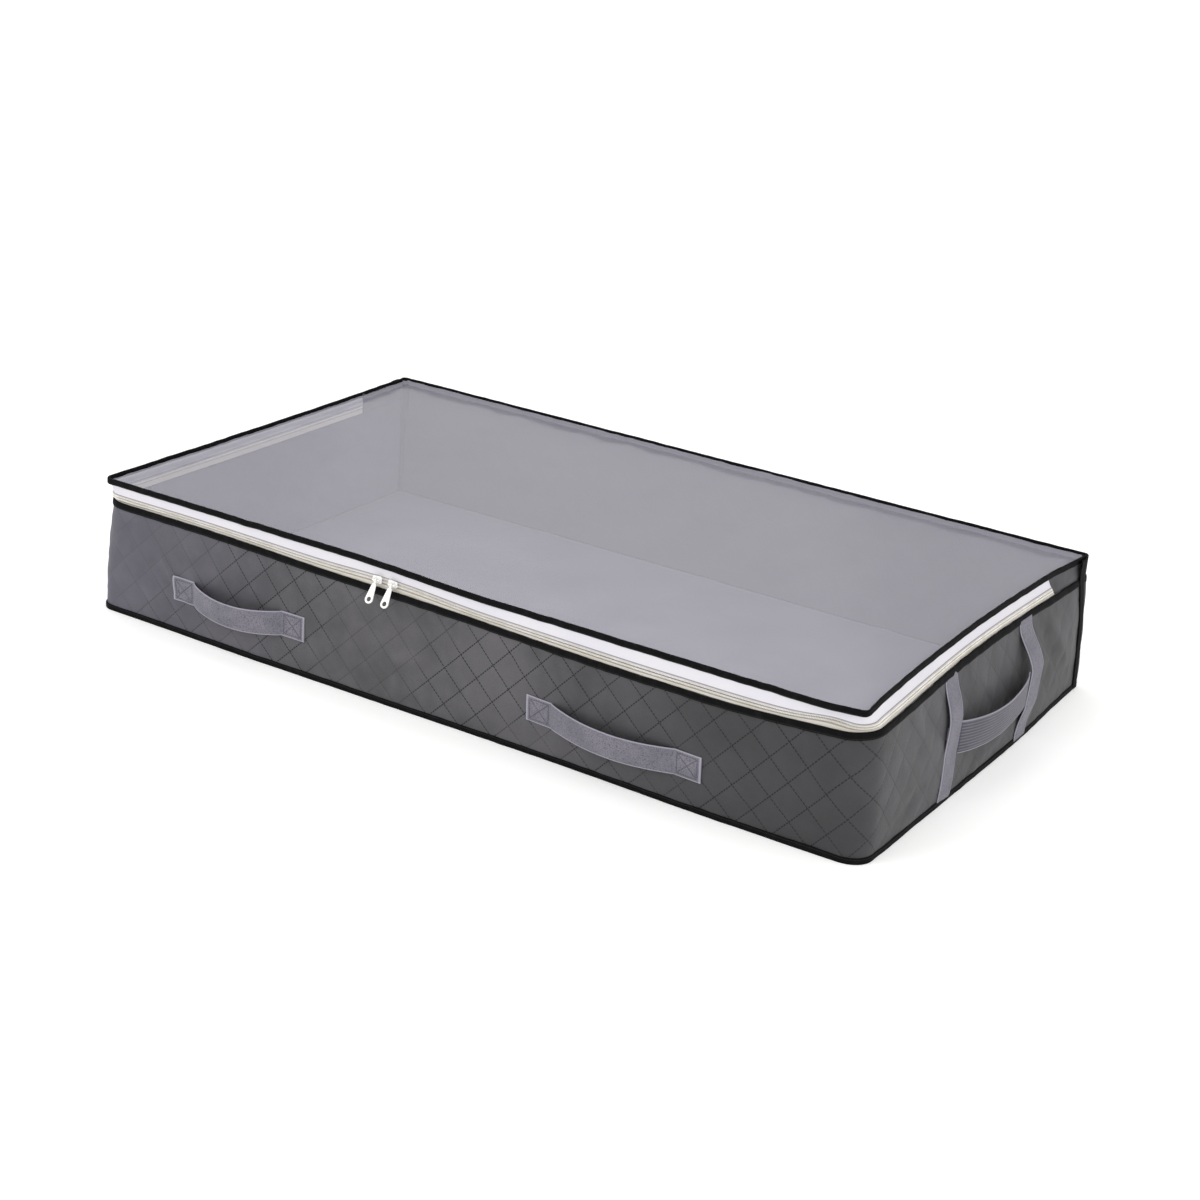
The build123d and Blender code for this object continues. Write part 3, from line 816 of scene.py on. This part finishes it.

# Front handles: one length of ribbed webbing each, its two ends sewn flat to the wall and the
# middle left loose for a hand. Each half is a piece of its own.

webbing = {}
# The pale colour is the sewn ends' hem, and a painted highlight along both edges of the webbing, partly its
# pale stitching.
pale_hem_and_edge_highlight, grey_light, grey_dark = colour(168, 165, 178), colour(121, 118, 128), colour(107, 105, 115)
for kind, wide, rib_pitch, ribbed, light, dark in (
    ("front", 0.030, 0.0021, 0.15, grey_light, grey_dark),
    ("upright", 0.032, 0.0021, 0.25, grey_light, grey_dark),
    ("end", 0.038, 0.0036, 0.85, colour(90, 88, 97), colour(80, 78, 86)),
):
    finish = material(
        f"{kind}_webbing", Roughness=0.66, Sheen_Weight=0.12, Sheen_Roughness=0.4, Specular_IOR_Level=0.3
    )
    spot_on = own_spot(finish)
    down = math_of(finish, "PINGPONG", spot_on["Y"], wide)
    off_middle = math_of(finish, "ABSOLUTE", math_of(finish, "SUBTRACT", down, wide / 2))
    rib = math_of(finish, "PINGPONG", math_of(finish, "DIVIDE", down, rib_pitch), 0.5)
    pick = math_of(finish, "PINGPONG", math_of(finish, "DIVIDE", spot_on["X"], 0.0012), 0.5)
    fleck = speckle(finish, 800.0)
    weave = math_of(finish, "MULTIPLY", rib, ribbed)
    for strand, height in ((pick, 0.35), (fleck, 0.5)):
        weave = math_of(finish, "ADD", weave, math_of(finish, "MULTIPLY", strand, height))
    base = tinted(finish, stepped(finish, speckle(finish, 40.0, 3.0), 0.3, 0.7), light, dark)
    # Painted shade in the rib grooves and a painted highlight on the rib crests; dark flecks; and a pale band
    # along both edges.
    for share, tint in (
        (stepped(finish, fleck, 0.52, 0.34, 0.0, 0.75), colour(70, 68, 78)),
        (stepped(finish, rib, 0.24, 0.05, 0.0, 0.8 * ribbed), colour(62, 60, 68)),
        (stepped(finish, rib, 0.34, 0.48, 0.0, 0.5 * ribbed), colour(136, 134, 146)),
        (stepped(finish, off_middle, wide / 2 - 0.0016, wide / 2 - 0.0008, 0.0, 0.6), pale_hem_and_edge_highlight),
    ):
        base = tinted(finish, share, base, tint)
    if kind == "upright":
        stitches = stitched(finish, spot_on, (0.003, 0.029))
    else:
        # The sewn end's light hem, and its stitches: a box with a cross in it.
        base = tinted(finish, stepped(finish, spot_on["X"], 0.0026, 0.0016, 0.0, 0.6), base, pale_hem_and_edge_highlight)
        from_patch = math_of(finish, "ABSOLUTE", math_of(finish, "SUBTRACT", spot_on["X"], 0.0165))
        from_patch = math_of(finish, "DIVIDE", from_patch, 0.0120)
        from_line = math_of(finish, "DIVIDE", off_middle, wide / 2 - 0.0035)
        farther = math_of(finish, "MAXIMUM", from_patch, from_line)
        off_box = math_of(finish, "ABSOLUTE", math_of(finish, "SUBTRACT", farther, 1.0))
        off_cross = math_of(finish, "ABSOLUTE", math_of(finish, "SUBTRACT", from_patch, from_line))
        inside = stepped(finish, farther, 1.02, 0.98)
        cross = math_of(finish, "MULTIPLY", stepped(finish, off_cross, 0.10, 0.05), inside)
        drawn = math_of(finish, "MAXIMUM", stepped(finish, off_box, 0.08, 0.04), cross)
        dash = math_of(finish, "DIVIDE", math_of(finish, "ADD", spot_on["X"], down), 0.0030)
        dash = stepped(finish, math_of(finish, "PINGPONG", dash, 0.5), 0.08, 0.14)
        stitches = math_of(finish, "MULTIPLY", drawn, dash)
    base = tinted(finish, math_of(finish, "MULTIPLY", stitches, 0.75), base, colour(62, 60, 70))
    coat(finish, base, weave, 0.0005, 0.7)
    webbing[kind] = finish


def strap(run_of, ends, roots, level, wide, bulge, sag, pulled, thick, half, tilt=0.0):
    """Half of a webbing handle, from one end to its middle: sewn flat as far as its root, then
    arched off the wall, its top edge leaning out. Its sewn ends lie on the wall, unless pulled
    says how far out each one is held."""
    middle = (roots[0] + roots[1]) / 2
    start, finish = (ends[0], middle) if half == 0 else (middle, ends[1])

    def arch(place):
        share = min(1.0, max(0.0, (place - roots[0]) / (roots[1] - roots[0])))
        return max(0.0, 1 - (2 * share - 1) ** 2) ** 0.7

    def lie(place, height):
        if pulled is None:
            sewn = wall_swell(run_of(place), height) + thick / 2 + 0.0003
        else:
            sewn = pulled[0] if place < middle else pulled[1]
        return mix(sewn, bulge, arch(place))

    def ring(u, angle):
        place = mix(start, finish, u)
        rise, out = flat_ring(angle, wide / 2, thick / 2, 0.3)
        height = level - tilt * (place - middle) - sag * arch(place) ** 2 + rise
        slope = (lie(place + 0.0006, height) - lie(place - 0.0006, height)) / 0.0012
        steep = math.hypot(1, slope)
        off = lie(place, height) + out / steep + 0.0025 * rise / (wide / 2) * arch(place)
        off += 0.0005 * noise.noise(Vector((place * 30, level, 3.0))) * arch(place)
        spot = around(run_of(place - out * slope / steep), off)[0]
        spot.z = height
        return spot

    return tube(80, 26, ring, abs(finish - start), wide, 0.3, backwards=half == 1)


sewn_length = 0.032
for side in ("left", "right"):
    low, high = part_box(f"front_handle_{side}_ends")
    level = high.z - 0.015
    bulge = -half_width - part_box(f"front_handle_{side}_grip")[0].y - 0.001
    hinge = f"front_handle_{side}"
    ends, roots = (low.x, high.x), (low.x + sewn_length, high.x - sewn_length)
    tilt = 0.023 if side == "right" else 0.0
    for half, far in enumerate(roots):
        shape = strap(lambda x: x, ends, roots, level, 0.030, bulge, 0.005, None, 0.0016, half, tilt)
        stood_for = [f"{hinge}_ends", f"{hinge}_grip"] if half == 0 else [f"{hinge}_grip"]
        made = piece(f"{hinge}_half_{half + 1}", shape, webbing["front"], stood_for)
        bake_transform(made)

# End handles: two uprights of webbing from the rim to the foot, and a wider grip whose ends pass
# under them. The grip stands off the wall and pulls both uprights out with it, the rear one most.

pulled_out = (0.006, 0.013)
for side, direction in (("left", -1), ("right", 1)):
    low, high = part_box(f"end_handle_{side}_uprights")
    grip_low, grip_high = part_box(f"end_handle_{side}_grip")
    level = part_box(f"end_handle_{side}_ends")[1].z - 0.019
    bulge = max(abs(grip_low.x), abs(grip_high.x)) - half_length - 0.001
    ends, roots = (low.y + 0.006, high.y - 0.006), (low.y + sewn_length, high.y - sewn_length)
    hinge = f"end_handle_{side}"

    def end_run(y):
        return direction * run_at(y)

    for half, far in enumerate(roots):
        shape = strap(end_run, ends, roots, level, 0.038, bulge, 0.004, pulled_out, 0.0018, half)
        stood_for = [f"{hinge}_ends", f"{hinge}_grip"] if half == 0 else [f"{hinge}_grip"]
        made = piece(f"{hinge}_half_{half + 1}", shape, webbing["end"], stood_for)
        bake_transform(made)

    for number, (middle, held_out) in enumerate(zip((low.y + 0.016, high.y - 0.016), pulled_out), 1):
        top, foot = rim_level - 0.004, 0.004

        def upright_ring(u, angle):
            height = mix(foot, top, u)
            up_share = (height - 0.010) / (level - 0.025)
            down_share = (top - 0.008 - height) / (top - level - 0.019)
            pulled = min(1.0, 1.08 * ease(up_share) * ease(down_share))
            aslant = (0.17 if direction > 0 else 0.05) * (height - level)
            wide, out = flat_ring(angle, 0.016, 0.00075, 0.3)
            run = end_run(middle + aslant + wide)
            resting = wall_swell(run, height) + 0.0011
            lie = mix(resting, max(resting, held_out + 0.0028), pulled)
            curl = 0.0005 * (wide / 0.016) ** 2 * pulled
            spot = around(run, lie + out - curl)[0]
            spot.z = height
            return spot

        shape = tube(90, 26, upright_ring, top - foot, 0.032, 0.3)
        name, stood_for = f"{hinge}_upright_{number}", [f"{hinge}_uprights"]
        piece(name, shape, webbing["upright"], stood_for, "bag")

# Sliders and pull tabs: die-cast zinc with white enamel, its edges rounded by the casting.

enamel = material(
    "zipper_enamel", Roughness=0.28, Coat_Weight=0.6, Coat_Roughness=0.12, Specular_IOR_Level=0.6
)
enamel_tone = stepped(enamel, speckle(enamel, 300.0), 0.45, 0.7)
enamel_base = tinted(enamel, enamel_tone, colour(240, 239, 236), colour(226, 225, 222))
coat(enamel, enamel_base, speckle(enamel, 700.0), 0.0001, 0.3)
sharp_angle = math.radians(40)
for side in ("left", "right"):
    for node, name, body in (
        (f"zipper_slider_{side}", f"enamelled_slider_{side}", f"slider_{side}"),
        (f"pull_tab_{side}", f"enamelled_pull_{side}", f"pull_{side}"),
    ):
        shape = bmesh.new()
        shape.from_mesh(frame["nodes"][node].data)
        bmesh.ops.remove_doubles(shape, verts=shape.verts, dist=1e-6)
        bmesh.ops.dissolve_limit(
            shape, angle_limit=math.radians(1), verts=shape.verts, edges=shape.edges, delimit={"NORMAL"}
        )
        made = piece(name, shape, enamel, [node], body)
        made.data.set_sharp_from_angle(angle=sharp_angle)
        rounding = made.modifiers.new("rounding", "BEVEL")
        rounding.width = 0.00028
        rounding.segments = 2
        rounding.limit_method = "ANGLE"
        rounding.angle_limit = sharp_angle
